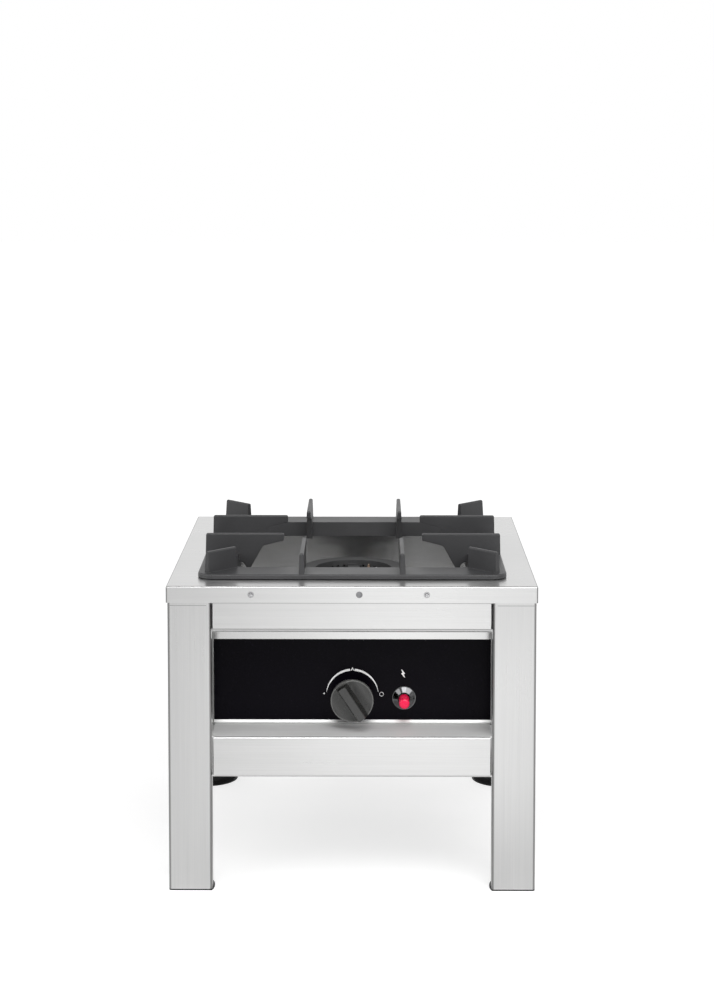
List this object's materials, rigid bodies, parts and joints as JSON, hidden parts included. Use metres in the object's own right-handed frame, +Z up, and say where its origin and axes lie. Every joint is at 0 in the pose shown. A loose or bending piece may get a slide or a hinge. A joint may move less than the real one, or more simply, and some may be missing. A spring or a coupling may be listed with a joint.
{
  "type": "stockpot stove",
  "caption": "Low square stainless stockpot stove: ring burner in a recessed casing between folded legs, lift-off cast pan support, push-and-turn knob and igniter button.",
  "frame": {"origin": "on the floor, under the centre of the top plate", "axes": "+X to the user's right, +Y to the back, +Z up; the control panel faces -Y"},
  "size_m": [0.4, 0.4, 0.364],
  "materials": {
    "stainless": "fine brushed stainless sheet",
    "polished_steel": "polished stainless sheet",
    "panel_film": "dark glossy film",
    "foot_plastic": "black moulded plastic",
    "knob_plastic": "dark grey satin plastic",
    "button_plastic": "red glossy plastic",
    "bezel_chrome": "bright plated ring",
    "igniter_plastic": "black moulded plastic",
    "plated_steel": "plated steel",
    "dark_steel": "dark coated steel sheet",
    "burner_iron": "dark cast iron",
    "support_iron": "satin dark grey cast iron",
    "gas_brass": "machined brass",
    "gas_pipe": "drawn pipe",
    "copper_lead": "drawn copper",
    "ceramic": "white glazed insulator",
    "spark_wire": "bright wire",
    "lead_rubber": "silicone sleeve"
  },
  "bodies": {
    "frame": {"air_shutter": "plated_steel", "back_panel": "polished_steel", "bar_screws": "plated_steel", "burner": "burner_iron", "burner_bar_front": "plated_steel", "burner_bar_rear": "plated_steel", "burner_screws": "plated_steel", "control_panel": "polished_steel", "electrode_ceramic": "ceramic", "electrode_wire": "spark_wire", "foot_front_left": "foot_plastic", "foot_front_right": "foot_plastic", "foot_rear_left": "foot_plastic", "foot_rear_right": "foot_plastic", "gas_pipe": "gas_pipe", "heat_shield": "dark_steel", "igniter_bezel": "bezel_chrome", "igniter_body": "igniter_plastic", "igniter_nut": "plated_steel", "ignition_lead": "lead_rubber", "injector": "gas_brass", "injector_holder": "gas_brass", "inlet_locknut": "gas_brass", "inlet_nipple": "gas_brass", "leg_front_left": "stainless", "leg_front_right": "stainless", "leg_rear_left": "stainless", "leg_rear_right": "stainless", "lower_rail_front": "stainless", "lower_rail_left": "stainless", "lower_rail_rear": "stainless", "lower_rail_right": "stainless", "magnet_unit": "gas_brass", "outlet_pipe": "gas_pipe", "panel_film": "panel_film", "pilot_burner": "gas_brass", "pilot_plate": "plated_steel", "pilot_screw": "plated_steel", "pilot_tube": "gas_pipe", "pipe_nuts": "gas_brass", "shutter_screw": "plated_steel", "side_panel_left": "polished_steel", "side_panel_right": "polished_steel", "skirt_rivets": "plated_steel", "skirt_screw": "plated_steel", "thermocouple": "copper_lead", "top_plate": "stainless", "upper_rail_front": "stainless", "upper_rail_left": "stainless", "upper_rail_rear": "stainless", "upper_rail_right": "stainless", "valve_body": "gas_brass", "valve_bonnet": "gas_brass", "valve_bracket": "plated_steel", "valve_screws": "plated_steel"},
    "pan_support": {"pan_support": "support_iron"},
    "knob_plunger": {"push_pin": "plated_steel"},
    "control_knob": {"knob": "knob_plastic", "valve_spindle": "plated_steel"},
    "igniter_button": {"igniter_button": "button_plastic"}
  },
  "joints": [
    {"name": "support_lift", "type": "slide", "parent": "frame", "child": "pan_support", "axis": [0, 0, 1], "range_m": [0, 0.12]},
    {"name": "knob_push", "type": "slide", "parent": "frame", "child": "knob_plunger", "axis": [0, 1, 0], "range_m": [0, 0.004], "stiffness_N_per_m": 900, "springref_m": -0.004},
    {"name": "knob_turn", "type": "hinge", "parent": "knob_plunger", "child": "control_knob", "pos_m": [0, -0.155, 0.203], "axis": [0, 1, 0], "range_deg": [-56, 124]},
    {"name": "igniter_push", "type": "slide", "parent": "frame", "child": "igniter_button", "axis": [0, 1, 0], "range_m": [0, 0.006], "stiffness_N_per_m": 700, "springref_m": -0.003}
  ]
}
